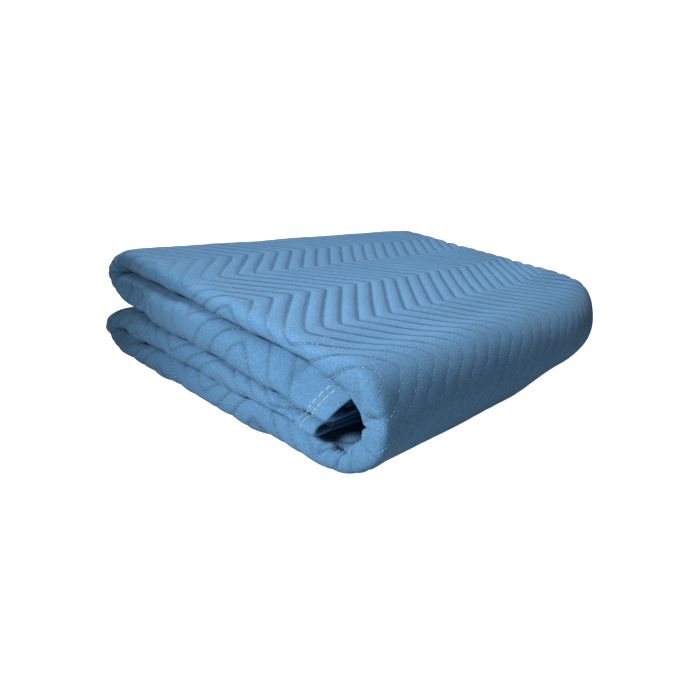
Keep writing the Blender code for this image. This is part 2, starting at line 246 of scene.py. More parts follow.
def strip_section():
    """Points of the section, the length at each, the ends of each turn, the strip."""
    parts, marks = [run("upper", UPPER_HEM_Y - HEM_OVER, BACK_CENTRE_Y)], []
    following = {"upper_back": run("top", BACK_CENTRE_Y, FRONT_CENTRE_Y),
                 "front": run("bottom", FRONT_CENTRE_Y, BACK_CENTRE_Y),
                 "lower_back": run("lower", BACK_CENTRE_Y, LOWER_HEM_Y - HEM_OVER)}
    for name, then in following.items():
        centre, side = (FRONT_CENTRE_Y, -1) if name == "front" else (BACK_CENTRE_Y, 1)
        turn = bend(name, centre, side, parts[-1][-1], then[0])
        count = sum(len(part) for part in parts)
        marks.append([count - 1, count + len(turn)])
        parts += [turn, then]
    points = np.concatenate(parts)
    step = np.hypot(*np.diff(points[:, :2], axis=0).T)
    length = np.concatenate([[-HEM_OVER], np.cumsum(step) - HEM_OVER])
    return points, length, length[marks].tolist(), length[-1] - HEM_OVER


SECTION, LENGTH, (BACK, FRONT, UNDER), STRIP = strip_section()
BACK_TURN, FRONT_TURN, UNDER_TURN = sum(BACK) / 2, sum(FRONT) / 2, sum(UNDER) / 2
TURN_AT = BACK[1] + BACK_CENTRE_Y - FIRST_TURN_Y


def station(s):
    """Section values at the lengths s."""
    row = [np.interp(s, LENGTH, column) for column in SECTION.T]
    for middle, (*_, pull_left, pull_right, reach) in zip(
            (BACK_TURN, FRONT_TURN, UNDER_TURN), BENDS.values()):
        share = fade(abs(s - middle), reach, reach)
        row[4] = row[4] + pull_left * share
        row[5] = row[5] - pull_right * share
    return row


print("strip", round(STRIP, 3), "m from hem to hem along its outer face")

# %% [markdown]
# ## Across the strip: three panels and two folds
# Laid flat, a line across the blanket runs over the middle panel, round the
# right fold, over the panel that shows, round the left fold and over the inner
# panel. `across` follows that line: it takes the flat place `f` and gives the
# place in the strip and the way that the cloth faces. The left folds are a
# little square, because each of them is squeezed by its neighbours.

# %% Fold the panels
EIGHTH = PITCH / 8
FOLDS_AT = (12, 24, 200, 208)    # where the left and right folds end, in eighths
F_LEFT_END, F_LEFT, F_RIGHT, F_RIGHT_END = (ROW_AT_X + m * EIGHTH for m in FOLDS_AT)
FOLD_SQUARE = 0.90        # 1 is a round left fold, less is squarer


def fold_centres(left, right, thick):
    """X of the centres of the left and the right fold."""
    left_radius, right_radius = (thick - CLOTH) / 2, (thick - CLOTH) / 4
    return left + CLOTH / 2 + left_radius, right - CLOTH / 2 - right_radius


def across(f, left, right, thick, square_left):
    """Centre line of the cloth at the flat place f: x, depth, faces x, faces depth."""
    centre_left, centre_right = fold_centres(left, right, thick)
    shows = (f + fade(f, -CROWD_FROM, CROWD_OVER) * (centre_left - F_LEFT)
             + grow(f, CROWD_FROM, CROWD_OVER) * (centre_right - F_RIGHT))
    middle, inner = f > F_RIGHT_END, f < F_LEFT_END
    x = np.select((middle, inner), (centre_right - (f - F_RIGHT_END),
                                    centre_left + F_LEFT_END - f), shows)
    depth = np.select((middle, inner), (thick / 2, thick - CLOTH / 2), CLOTH / 2)
    nx, nd = np.zeros_like(f), np.where(middle | inner, 1.0, -1.0)
    for fold, share, centre, radius, square, side in (
            ((f > F_RIGHT) & ~middle, (f - F_RIGHT) / PITCH,
             centre_right, (thick - CLOTH) / 4, 1.0, 1.0),
            ((f < F_LEFT) & ~inner, (F_LEFT - f) / (F_LEFT - F_LEFT_END),
             centre_left, (thick - CLOTH) / 2, square_left, -1.0)):
        turn = math.pi * (np.clip(share, 0, 1) - 0.5)
        out, fall = np.cos(turn), np.sin(turn)
        way, steep = np.sign(fall), abs(fall)
        down = CLOTH / 2 + radius + radius * way * steep ** square
        x = np.where(fold, centre + side * radius * out ** square, x)
        depth = np.where(fold, down, depth)
        face_out, face_fall = out ** (2 - square), way * steep ** (2 - square)
        size = np.hypot(face_out, face_fall)
        nx = np.where(fold, side * face_out / size, nx)
        nd = np.where(fold, face_fall / size, nd)
    return x, depth, nx, nd


print("folds at", round(F_LEFT, 3), "and", round(F_RIGHT, 3), "m of the flat width")

# %% [markdown]
# ## How the stack has settled
# A folded blanket that has stood under others isn't square. Its top leans, one
# corner is pressed in, and the strips swell and sink along the layered face.
# Each of these is a soft push on the finished fold, with a place and a reach.

# %% Settle the stack
#        Y   gained height of the creases above strip 4, 3 and 2 at the left (mm)
LIFTS = [(-0.250, 1.0, -2.0, -4.0), (-0.210, 4.0, -3.0, -4.5), (-0.175, 6.0, -3.0, 4.5),
         (-0.150, 7.0, -4.0, 11.0), (-0.120, 9.0, 3.0, 11.0), (-0.050, 5.0, 5.0, 11.0),
         (-0.020, 5.0, 7.0, 13.0), (0.045, 6.0, 7.0, 10.0), (0.095, 8.0, 4.0, 6.5),
         (0.130, 5.0, 5.0, 6.0), (0.170, -2.0, 3.0, 5.0), (0.250, 0.0, 0.0, 2.0)]
STRIP_Z = (0.0, 0.031, 0.058, 0.0975, 0.133)   # where the strips meet, from the floor
LIFT_AT, LIFT_OVER = -0.215, 0.095             # this far from the layered face
#        Y, Z, half length, half height, depth of hollows in the layered face (mm)
HOLLOWS = [(172, 88, 36, 13, 20), (203, 22, 22, 11, 13), (45, 6, 60, 16, -4),
           (-160, 12, 30, 16, -4), (-148, 90, 14, 10, 7)]
SAG = 0.0032              # how far the top dips just before the great front fold
CORNER_UP = 0.0035        # how far the top is pushed up beside the pressed corner
TUCK = 0.026              # how far the front is tucked in low down, towards the right
NOTCH_X, NOTCH_Y = 0.011, 0.013       # how far the back folds are pulled in where
NOTCH_Z, NOTCH_UP, NOTCH_DOWN = 0.060, 0.022, 0.016    # they meet, and its height
PRESS_ALL, PRESS_LOW, PRESS_TOP = 0.95, 0.75, 0.15     # the pressed corner by height
LIP_UP, LIP_IN = 0.005, 0.004         # how far the lower lip is pushed up and in
TILT_UPPER, TILT_LOWER = 0.042, 0.006          # how far the hems lean inwards and
FORWARD_UPPER, FORWARD_TOP, FORWARD_LOWER = 0.006, 0.014, 0.004    # forwards


def lift(x, y, z):
    """Height gained near the layered face, where the strips lie unevenly."""
    places, *rises = np.array(LIFTS).T
    gain = flat = np.zeros_like(y)
    gains = [flat, *(np.interp(y, places, rise / 1000) for rise in rises), flat]
    for low, high, under, above in zip(STRIP_Z, STRIP_Z[1:], gains, gains[1:]):
        share = (z - low) / (high - low)
        here = (z >= low) & (z < high)
        gain = np.where(here, under + (above - under) * share, gain)
    sag = SAG * mound(y, -0.176, 0.028) * fade(x, 0.16, 0.2)
    top = np.clip((z - STRIP_Z[3]) / (STRIP_Z[4] - STRIP_Z[3]), 0, 1)
    return gain * fade(x, LIFT_AT, LIFT_OVER) - sag * top


def press(x, y, z):
    """How far the right front corner is pressed in."""
    along = np.clip((x - CORNER_FROM_X) / CORNER_OVER_X, 0, 1.2)
    deep = np.maximum((CORNER_FROM_Y - y) / CORNER_OVER_Y, 0)
    low, high = mound(z, 0, 0.036), (z / HEIGHT) ** 2
    by_height = PRESS_ALL + PRESS_LOW * low - PRESS_TOP * high
    return CORNER_IN * along ** 2.0 * deep ** 1.5 * by_height


def settle(x, y, z):
    """The uneven strips, the pressed corner, the hollows, the lean and the lip."""
    pull = (mound(z, NOTCH_Z, np.where(z > NOTCH_Z, NOTCH_UP, NOTCH_DOWN))
            * grow(y, 0.12, 0.12) * fade(x, -0.20, 0.11))
    z = z + lift(x, y, z)
    x, y = x + NOTCH_X * pull, y + press(x, y, z) - NOTCH_Y * pull
    y = y + TUCK * mound(z, 0, 0.040) * grow(x, -0.02, 0.14) * fade(y, -0.08, 0.12)
    z = z + CORNER_UP * z / HEIGHT * mound(y, -0.11, 0.07) * grow(x, 0.16, 0.16)
    for at_y, at_z, long, high, depth in np.array(HOLLOWS) / 1000:
        x = x + (depth * mound(y, at_y, long) * mound(z, at_z, high)
                 * fade(x, -0.25, 0.06))
    z = z * (1.0 + (LEAN_BACK * y + LEAN_SIDE * x) / HEIGHT)
    z = z + (LIP_UP * mound(y, -0.240, 0.030) * mound(x, -0.300, 0.050)
             * np.clip(1.0 - z / 0.05, 0, 1))
    y = y + LIP_IN * np.clip(1.0 - z / 0.04, 0, 1) * fade(y, -0.20, 0.04)
    return x, y, np.maximum(z, 0.0)


def tilt(s, share, x):
    """How far a hem leans inwards and forwards at its top, near the layered face."""
    near = fade(x, -0.10, 0.18)
    upper = near * fade(s, 0.15, 0.13)
    lower = near * grow(s, STRIP - 0.10, 0.09)
    return (TILT_UPPER * share ** 1.4 * upper + TILT_LOWER * (1 - share) * lower,
            (FORWARD_UPPER - FORWARD_TOP * share) * upper + FORWARD_LOWER * lower)


def cloth_points(s, f, off):
    """Points of the folded cloth at length s and flat place f, off its middle."""
    oy, oz, iy, iz, left, right = station(s)
    thick = np.hypot(iy - oy, iz - oz)
    square = FOLD_SQUARE - 0.50 * mound(s, FRONT_TURN, 0.06)
    x, depth, nx, nd = across(f, left, right, thick, square)
    share = (depth + off * nd) / thick
    x = x + off * nx
    inwards, forwards = tilt(s, np.clip(share, 0, 1), x)
    y, z = oy + (iy - oy) * share + forwards, oz + (iz - oz) * share
    return np.stack(settle(x + inwards, y, z), 1)


def edge_place(s, panel, reach):
    """Flat place at a reach in from the raw edge of the middle or inner panel."""
    oy, oz, iy, iz, left, right = station(s)
    centre_left, centre_right = fold_centres(left, right, np.hypot(iy - oy, iz - oz))
    if panel == "middle":
        return F_RIGHT_END + centre_right - (left + MIDDLE_EDGE_IN + reach)
    return F_LEFT_END - (right - INNER_EDGE_IN - reach - centre_left)


on_top = np.array([0.7])
flat_width = edge_place(on_top, "middle", 0) - edge_place(on_top, "inner", 0)
print("flat width", round(float(flat_width[0]), 3), "m")

# %% [markdown]
# ## The zigzag quilting
# The quilting machine sews parallel zigzag rows. Along the strip they step
# sideways three and a half row spacings in a band, then back again. Between two
# rows the batt pushes the felt up into a soft rib; at a row the thread pulls
# both faces together. The turns are a little rounded, since the machine can't
# turn on the spot, and no two ribs are quite as full as each other.

# %% Say where the rows run and how deep they are
STEP = BAND / BAND_STEPS  # the rows move an eighth of a pitch in each step
QUILT_DEPTH, QUILT_SHALLOW, QUILT_ROUND = 0.0045, 0.0028, 0.62
FULL_LEAST = 0.86         # share of the full height that the flattest rib has
TURN_ROUND, TURN_ROUND_LEFT = 0.0020, 0.0075
#   turns of the rows, counted in steps, and where the stretched cloth has them
FAR = 600.0
STEP_MARKS = np.array([-FAR, -84.0, -56.0, -28.0, 0.0, 28.0, FAR])
STEP_PLACES = TURN_AT + np.array([-0.270 - (FAR - 84) * STEP, -0.270, -0.1877, -0.0990,
                                  0.0045, 0.1055, 0.1055 + (FAR - 28) * STEP])
SKEW_MARKS = (-112.0, -84.0, -56.0, -28.0, 0.0, 28.0, 56.0)
SKEW = (-3.0, -3.2, 1.5, 2.8, 0.5, -0.5, 0.0)   # eighths that the rows are pushed along


def steps(s):
    """Steps of the machine from the first turn on the top to the length s."""
    return np.interp(s, STEP_PLACES, STEP_MARKS)


def climb(s):
    """Share of a band's climb at the length s: 0 and 1 at the turns."""
    phase = (-steps(s) / BAND_STEPS) % 2.0
    return np.where(phase <= 1.0, phase, 2.0 - phase)


def slide(s, f):
    """How far the rows are moved sideways to round off their turns."""
    width = TURN_ROUND + (TURN_ROUND_LEFT - TURN_ROUND) * fade(f, F_LEFT + 0.09, 0.09)
    low, high = climb(s) * BAND, (1.0 - climb(s)) * BAND
    cut = np.hypot(low, width) - low - np.hypot(high, width) + high
    return cut * EIGHTH / STEP + np.interp(steps(s), SKEW_MARKS, SKEW) * EIGHTH


def row_number(s, f):
    """Number of the row at a place, halves being the crests between rows."""
    return (f - ROW_AT_X) / PITCH - CLIMB * climb(s)


def scatter(a, b):
    """A fixed number from 0 to 1 for a rib, different for its neighbours."""
    return np.modf(abs(np.sin(a * 12.9898 + b * 78.233) * 43758.5453))[0]


def fullness(s, f):
    """Share of the full relief: less where the cloth is stretched over a fold."""
    front = grow(s, TURN_AT + 0.065, 0.050) - grow(s, TURN_AT + 0.240, 0.030)
    fold = fade(f, F_LEFT + 0.035, 0.05)
    corner = fade(s, TURN_AT - 0.080, 0.10) * fade(f, -0.17, 0.09)
    corner = np.maximum(corner, 0.5 * fade(s, BACK[1] + 0.07, 0.05))
    return (1 - 0.90 * front) * (1 - 0.62 * fold) * (1 - 0.6 * corner)


def quilt_loss(s, f):
    """Depth by which the thread pulls the face in."""
    rows = row_number(s, f)
    away = abs(rows - np.round(rows)) * 2.0
    puff = np.sin(math.pi / 2 * away) ** QUILT_ROUND
    bands = -steps(s) / BAND_STEPS
    full = FULL_LEAST + (1 - FULL_LEAST) * scatter(np.floor(rows), np.floor(bands))
    turn = bands % 2.0
    deeper = np.where(turn < 1.0, np.sin(math.pi * np.clip(turn, 0, 1)) ** 0.5, 0.0)
    depth = QUILT_SHALLOW + (QUILT_DEPTH - QUILT_SHALLOW) * deeper
    return depth * fullness(s, f) * (1.0 - puff * full)


slope = math.atan(CLIMB * PITCH / BAND)
print("a rib is", round(PITCH * math.cos(slope) * 1000, 1), "mm wide")

# %% [markdown]
# ## Creases placed one by one
# Cloth that has been folded a hundred times is never even. Each line of the
# table is one soft trough (or, with a height above nought, a ridge), put where
# the cloth bunches: round the inside of each turn, beside the hems and at the
# mouth of the great fold. Places are the length `s` along the strip, from the
# start or turn that heads the list, and the share `t` of the turn round the
# left fold.

# %% Creases and slow swells
#        s, t, turned (degrees), half length, half width, height (lengths in mm)
CREASES = [
    (0.0, [(34.5, 0.82, 90, 11, 2.8, -6.0), (57.7, 0.80, 92, 15, 3.0, -5.0)]),
    (STRIP, [(-38, 0.30, 90, 11, 2.6, -5.0), (-52, 0.26, 90, 10, 2.6, -4.0)]),
    (BACK_TURN, [(0, 0.86, 90, 18, 3.4, -6.0), (-13, 0.86, 84, 17, 3.0, -5.5),
                 (14, 0.84, 97, 17, 3.0, -5.5), (-27, 0.82, 80, 22, 3.5, -2.8),
                 (28, 0.80, 101, 22, 3.5, -2.8)]),
    (UNDER_TURN, [(0, 0.84, 90, 18, 3.2, -5.5), (-14, 0.78, 83, 24, 3.5, -3.0),
                  (13, 0.78, 98, 24, 3.5, -3.0)]),
    (FRONT_TURN, [(-24, 0.45, 80, 14, 4.0, -3.0), (28, 0.42, 104, 14, 4.0, -3.0),
                  (52, 0.60, 96, 22, 3.5, -3.0), (72, 0.58, 84, 20, 3.5, -2.8)]),
    (TURN_AT, [(158, 0.86, 90, 15, 4.5, -6.0), (246.5, 0.88, 90, 12, 2.6, -6.0),
               (258.5, 0.86, 92, 12, 2.2, -5.0), (270, 0.80, 94, 11, 2.4, -6.0),
               (283, 0.66, 88, 11, 2.4, -5.5), (262, 1.20, 0, 24, 13.0, -10.0),
               (253, 1.25, 0, 15, 15.0, -9.5), (240, 1.52, 0, 20, 16.0, -9.0),
               (113, 0.50, 14, 16, 3.0, -5.0), (145, 0.46, 148, 12, 3.4, -6.5)]),
]


def creases(s, f):
    """Height of the listed troughs and ridges at a place."""
    rise = np.zeros_like(s)
    for start, near_it in CREASES:
        for at, share, turned, reach, width, height in near_it:
            ds, df = s - start - at / 1000, F_LEFT - share * (F_LEFT - F_LEFT_END) - f
            c, n = math.cos(math.radians(turned)), math.sin(math.radians(turned))
            along, beside = mound(ds * c + df * n, 0, reach / 1000), df * c - ds * n
            rise += height / 1000 * along * mound(beside, 0, width / 1000)
    return rise


def swells(s, f):
    """Slow unevenness of the whole cloth, stronger on the left folds."""
    fold = fade(f, F_LEFT + 0.02, 0.03)
    slow = (np.sin(s * 23.0 + f * 11.0 + 0.4) + np.sin(s * 37.0 - f * 29.0 + 2.0)
            + 0.7 * np.sin(f * 47.0 + s * 13.0 + 1.1))
    quick = np.sin(s * 71.0 + f * 40.0) + np.sin(s * 113.0 - f * 31.0 + 0.7)
    return slow * (0.0004 + 0.0008 * fold) + quick * 0.0005 * fold


print(sum(len(near_it) for _, near_it in CREASES), "creases placed by hand")

# %% [markdown]
# ## The sheet
# The mesh is a fine grid that follows the rows: each step along the strip
# moves a row by exactly one column, so every groove runs along the edges of the
# triangles and stays crisp with few of them. Cloth that nobody can see is left
# coarse, and a coarse cell beside fine ones is filled as a fan from its middle,
# so the sheet stays closed. Close to the folds every cell is fine, since a fan
# there would cut a notch into the round of the fold.

# %% Lines of the grid
COARSE = 16               # steps or columns that a coarse cell is wide
MARGIN = ((0.0, True), (0.014, True), (0.028, True), (0.031, False), (0.034, False),
          (0.037, False), (0.040, True))   # lines beside a raw edge, and if coarse


def strip_rows():
    """Lines across the strip: (s, number in steps or None, in the coarse grid?)."""
    edge = MARGIN[-1][0]
    first, last = math.ceil(steps(edge) + 0.5), math.floor(steps(STRIP - edge) - 0.5)
    middle = []
    for k in range(first, last + 1):
        s, every = float(np.interp(k, STEP_MARKS, STEP_PLACES)), BAND_STEPS // 2
        for (a, b), finer in ((BACK, 2), (FRONT, 4), (UNDER, 2)):
            if a - 4 * STEP < s < b + 4 * STEP:
                every = finer
        middle.append((s, k, k % every == 0))
    return ([(s, None, coarse) for s, coarse in MARGIN] + middle
            + [(STRIP - s, None, coarse) for s, coarse in MARGIN[::-1]])


def cloth_columns():
    """Lines along the strip: (kind, column number or reach, in the coarse grid?)."""
    sides = [line for line in MARGIN if line[0] not in (0.031, 0.037)]
    inner, left, right, middle = FOLDS_AT
    under, far = inner - 3 * COARSE, inner - 9 * COARSE
    columns = [("middle", *line) for line in sides]
    columns += [("at", m, True) for m in range(middle + 8 * COARSE, middle, -COARSE)]
    for start, stop, every in ((middle, right, 2), (right, left, COARSE),
                               (left, inner, 2), (inner, under, COARSE)):
        columns += [("at", m, (m - stop) % every == 0) for m in range(start, stop, -1)]
    columns += [("at", m, True) for m in range(under, far - 1, -COARSE)]
    return columns + [("inner", *line) for line in sides[::-1]]


ROWS, COLUMNS = strip_rows(), cloth_columns()
COARSE_ROWS = [i for i, row in enumerate(ROWS) if row[2]]
COARSE_COLUMNS = [j for j, column in enumerate(COLUMNS) if column[2]]
print(len(ROWS), "lines across,", len(COLUMNS), "lines along")

# %% Points of the grid
ROW_S = np.array([row[0] for row in ROWS])


def flat_places(s, j):
    """Flat place of grid lines j at the lengths s, and the same with no slide."""
    f = np.zeros_like(s)
    for line in np.unique(j):
        kind, value, _ = COLUMNS[line]
        here = j == line
        f[here] = (ROW_AT_X + value * EIGHTH if kind == "at"
                   else edge_place(s[here], kind, value))
    moved = np.array([COLUMNS[line][0] == "at" for line in j])
    return f + np.where(moved, slide(s, f), 0.0), f


def loft(s, f):
    """Share of the full loft, low under the bindings."""
    ends = np.minimum(s, STRIP - s)
    sides = np.minimum(edge_place(s, "middle", 0) - f, f - edge_place(s, "inner", 0))
    return np.clip((np.minimum(ends, sides) - BINDING_WIDTH) / TAPER, 0, 1)


def offset(s, f, face, pattern):
    """How far a face of the cloth is off its middle, with all its relief."""
    full = loft(s, f)
    half = (CLOTH_EDGE + (CLOTH - CLOTH_EDGE) * full) / 2
    relief = np.where(face > 0, quilt_loss(s, pattern) * full, 0.0)
    return face * (half - relief) + (creases(s, f) + swells(s, f)) * full


def level_of(i0, i1, j0, j1):
    """1 for a cell with the full grid, 2 for every other line, 0 for none."""
    s0, s1 = ROWS[i0][0], ROWS[i1][0]
    beside_edge = {COLUMNS[j0][0], COLUMNS[j1][0]} != {"at"}
    if beside_edge or min(s0, STRIP - s1) < BINDING_WIDTH - 1e-6:
        return 0
    low, high = sorted((COLUMNS[j0][1], COLUMNS[j1][1]))
    inner, left, right, middle = FOLDS_AT
    half = 2 if ROWS[i0][1] is not None else 1
    if (inner <= low and high <= left) or (right <= low and high <= middle):
        return 1
    if left <= low and high <= right:
        if (BACK[0] < s1 and s0 < FRONT[1]) or (UNDER[0] < s1 and s0 < UNDER[1]):
            return 1
        if high <= left + COARSE or low >= right - COARSE:
            return half
        return half if half == 2 and FRONT[1] <= s1 and s0 <= UNDER[0] else 0
    if inner - 3 * COARSE <= low and high <= inner:
        if FRONT[0] - 0.05 < s1 and s0 < FRONT[1] + 0.05:
            return 1
        return half if low >= inner - COARSE else 0
    return half if middle <= low and high <= middle + COARSE else 0


# %% Faces of the sheet
def sheet_faces():
    """Triangles of the sheet as keys (face, row, column), and its middles."""
    store, hubs, triangles = {}, [], []

    def ring_of(face, i0, i1, j0, j1):
        ring = [(face, i0, j) for j in range(j0, j1)]
        ring += [(face, i, j1) for i in range(i0, i1)]
        ring += [(face, i1, j) for j in range(j1, j0, -1)]
        ring += [(face, i, j0) for i in range(i1, i0, -1)]
        corners = {(i0, j0), (i0, j1), (i1, j1), (i1, j0)}
        return [k for k in ring if k in store or k[1:] in corners]

    def add(face, *corners):
        triangles.extend(keys if face > 0 else keys[::-1] for keys in corners)

    def fill(face, i0, i1, j0, j1):
        ring = ring_of(face, i0, i1, j0, j1)
        a, b, c, d = ((face, i0, j0), (face, i0, j1), (face, i1, j1), (face, i1, j0))
        for key in ring:
            store.setdefault(key, len(store))
        if len(ring) > 4:
            hub = ("hub", len(hubs), 0)
            hubs.append((a, b, c, d))
            add(face, *((hub, p, q) for p, q in zip(ring, ring[1:] + ring[:1])))
        elif climb(ROW_S[i0]) > climb(ROW_S[i1]):
            add(face, (a, b, c), (a, c, d))
        else:
            add(face, (a, b, d), (b, c, d))

    cells = [(i0, i1, j0, j1) for i0, i1 in zip(COARSE_ROWS, COARSE_ROWS[1:])
             for j0, j1 in zip(COARSE_COLUMNS, COARSE_COLUMNS[1:])]
    levels_of = {cell: level_of(*cell) for cell in cells}
    for level in (1, 2):
        for i0, i1, j0, j1 in (cell for cell in cells if levels_of[cell] == level):
            for i in range(i0, i1, level):
                for j in range(j0, j1, level):
                    fill(1, i, i + level, j, j + level)
    for face in (1, -1):
        for cell in cells:
            if face < 0 or levels_of[cell] == 0:
                fill(face, *cell)
    rim = ring_of(1, 0, COARSE_ROWS[-1], 0, COARSE_COLUMNS[-1])
    for p, q in zip(rim, rim[1:] + rim[:1]):
        under_p, under_q = (-1, *p[1:]), (-1, *q[1:])
        add(1, (q, p, under_p), (q, under_p, under_q))
    return store, hubs, triangles


SHEET = sheet_faces()
print(len(SHEET[2]), "triangles,", len(SHEET[1]), "coarse cells filled from the middle")


# %% Make the sheet
BAKE_WIDE, BAKE_START = 2.1, 0.62      # width of the bake map, and where it starts
BAKE_OUTER, BAKE_INNER = 0.86, 0.12    # shares of its height for the two faces


def smooth(data):
    data.polygons.foreach_set("use_smooth", [True] * len(data.polygons))


def mesh_object(name, points, faces, material):
    """An object from arrays, at the origin, facing outwards."""
    data = bpy.data.meshes.new(name)
    data.from_pydata(points, [], faces)
    data.materials.append(material)
    smooth(data)
    data.update()
    obj = bpy.data.objects.new(name, data)
    bpy.context.scene.collection.objects.link(obj)
    return obj


def outwards(points, faces):
    """The faces, turned round if they face into the body."""
    faces = np.array(faces)
    a, b, c = (points[faces[:, k]] for k in range(3))
    return faces[:, ::-1] if (a * np.cross(b, c)).sum() < 0 else faces


def make_sheet(material):
    store, hubs, triangles = SHEET
    keys = list(store)
    face, i, j = np.array(keys).T
    s = ROW_S[i]
    f, pattern = flat_places(s, j)
    up = s / STRIP
    number = {key: n for n, key in enumerate(keys)}
    middles = [[number[k] for k in four] for four in hubs]
    points, bake, quilt = (np.concatenate([part, part[middles].mean(1)]) for part in (
        cloth_points(s, f, offset(s, f, face, pattern)),
        np.stack([(F_RIGHT_END + BAKE_START - f) / BAKE_WIDE, np.where(
            face > 0, up * BAKE_OUTER, 1 - BAKE_INNER + up * BAKE_INNER)], 1),
        np.stack([row_number(s, pattern), (TURN_AT - s) / BAND], 1)))
    faces = outwards(points, [[len(keys) + k[1] if k[0] == "hub" else number[k]
                               for k in corners] for corners in triangles])
    obj = mesh_object("quilted_cloth", points, faces.tolist(), material)
    for name, places in (("OFBake", bake), ("quilt", quilt)):
        layer = obj.data.uv_layers.new(name=name)
        layer.uv.foreach_set("vector", places[faces.ravel()].astype(np.float32).ravel())
    return obj


# %% [markdown]
# ## Felt, binding and thread
# The faces are needled felt: short blue fibres in several shades, pressed flat
# and quite matt. The colour therefore wanders at the size of the fibres, with
# a few pale flecks, and a slower tone lies over it. Along the rows the needle
# has left a line of small puckers, which is too fine for the mesh, so it is
# drawn as relief from the cloth's own map. Thread is a smoother, brighter yarn.

# %% Helpers for materials
class Nodes:
    """Adds nodes to a material and joins them up."""

    def __init__(self, name, **settings):
        self.material = bpy.data.materials.new(name)
        self.material.use_nodes = True
        self.tree = self.material.node_tree
        self.shader = self.tree.nodes["Principled BSDF"]
        for socket, value in settings.items():
            self.shader.inputs[socket.replace("_", " ")].default_value = value
        self.place = self.tree.nodes.new("ShaderNodeTexCoord").outputs["Object"]

    def put(self, socket, value):
        if isinstance(value, bpy.types.NodeSocket):
            self.tree.links.new(value, socket)
        else:
            socket.default_value = value

    def maths(self, operation, *values, clamp=False):
        node = self.tree.nodes.new("ShaderNodeMath")
        node.operation, node.use_clamp = operation, clamp
        for socket, value in zip(node.inputs, values):
            self.put(socket, value)
        return node.outputs[0]

    def times(self, a, b):
        return self.maths("MULTIPLY", a, b)

    def line(self, value, slope, start, clamp=False):
        """The value times a slope, plus a start."""
        return self.maths("MULTIPLY_ADD", value, slope, start, clamp=clamp)

    def parts(self, vector):
        node = self.tree.nodes.new("ShaderNodeSeparateXYZ")
        self.put(node.inputs[0], vector)
        return node.outputs

    def noise(self, scale, detail=2.0, rough=0.5):
        node = self.tree.nodes.new("ShaderNodeTexNoise")
        self.put(node.inputs["Vector"], self.place)
        for key, value in (("Scale", scale), ("Detail", detail), ("Roughness", rough)):
            node.inputs[key].default_value = value
        return node.outputs["Fac"]

    def ramp(self, factor, *stops):
        node = self.tree.nodes.new("ShaderNodeValToRGB")
        self.put(node.inputs[0], factor)
        elements = node.color_ramp.elements
        while len(elements) < len(stops):
            elements.new(0.5)
        for element, (at, colour) in zip(elements, stops):
            element.position, element.color = at, (*colour, 1.0)
        return node.outputs["Color"]

    def mix(self, factor, a, b, kind="MIX"):
        node = self.tree.nodes.new("ShaderNodeMix")
        node.data_type, node.blend_type = "RGBA", kind
        for socket, value in zip((0, 6, 7), (factor, a, b)):
            self.put(node.inputs[socket], value)
        return node.outputs[2]

    def finish(self, colour, height, strength, distance):
        """Joins the colour and the relief to the shader."""
        bump = self.tree.nodes.new("ShaderNodeBump")
        for node, socket, value in (
                (bump, "Strength", strength), (bump, "Distance", distance),
                (bump, "Height", height), (self.shader, "Normal", bump.outputs[0]),
                (self.shader, "Base Color", colour)):
            self.put(node.inputs[socket], value)
        return self.material


# %% Felt
STITCH, STITCH_SHARE = 0.00306, 0.66   # step along the strip, share that shows
ROW_SHADE = 0.32           # how dark the painted shade is down in a row
FRONT_BAND = -1.8         # bands from the first turn to the great front fold


def felt_material(name, dark, base, light, pale, rows=True):
    """Needled felt in four shades, with the puckered rows and painted shade down in
    them if rows is set.
    """
    n = Nodes(name, Roughness=0.93, Sheen_Weight=0.04, Sheen_Roughness=0.6,
              Sheen_Tint=(0.85, 0.93, 1.0, 1.0), Specular_IOR_Level=0.08)
    fibres, clumps = n.noise(1500.0, rough=0.6), n.noise(520.0)
    mottle = n.line(fibres, 0.55, n.times(clumps, 0.45))
    colour = n.ramp(mottle, (0.30, dark), (0.48, base), (0.62, light), (0.74, pale))
    tone = n.ramp(n.noise(9.0), (0.30, (0.90, 0.91, 0.93)), (0.70, (1.0, 1.0, 1.0)))
    colour = n.mix(1.0, colour, tone, "MULTIPLY")
    height = n.line(fibres, 0.5, n.times(clumps, 0.8))
    if rows:
        uv = n.tree.nodes.new("ShaderNodeUVMap")
        uv.uv_map = "quilt"
        row, band = n.parts(uv.outputs[0])[:2]
        near = n.maths("ABSOLUTE", n.maths("SUBTRACT", row, n.maths("ROUND", row)))
        groove, beside = (n.line(near, -steep, 1.0, clamp=True) for steep in (9.0, 5.0))
        # the needle's puckers, one to a stitch, on both sides of a row
        beat = n.maths("SINE", n.times(band, 2 * math.pi * BAND / STITCH))
        height = n.maths("ADD", height, n.times(n.times(beat, beside), 0.25))
        height = n.maths("SUBTRACT", height, n.times(groove, 0.5))
        # painted shade darkens a row, more in every other band, less where the cloth is
        # stretched: on the great front fold and by the layered face
        slant = n.maths("SINE", n.times(band, math.pi))
        from_front = n.maths("ABSOLUTE", n.maths("SUBTRACT", band, FRONT_BAND))
        loose = n.line(from_front, 2.9, -1.75, clamp=True)
        x, y = n.parts(n.place)[:2]
        reach = n.line(n.maths("MAXIMUM", y, 0.0), -14.0, 7.4)
        inside = n.line(x, 22.0, reach, clamp=True)
        groove_shade = n.line(groove, 0.50, n.times(beside, 0.30))
        for share in (n.line(slant, -0.42, 1.15), n.line(loose, 0.85, 0.15),
                      n.line(inside, 0.60, 0.40)):
            groove_shade = n.times(groove_shade, share)
        colour = n.mix(groove_shade, colour, (*(ROW_SHADE * c for c in base), 1.0))
    return n.finish(colour, height, 0.26, 0.0006)


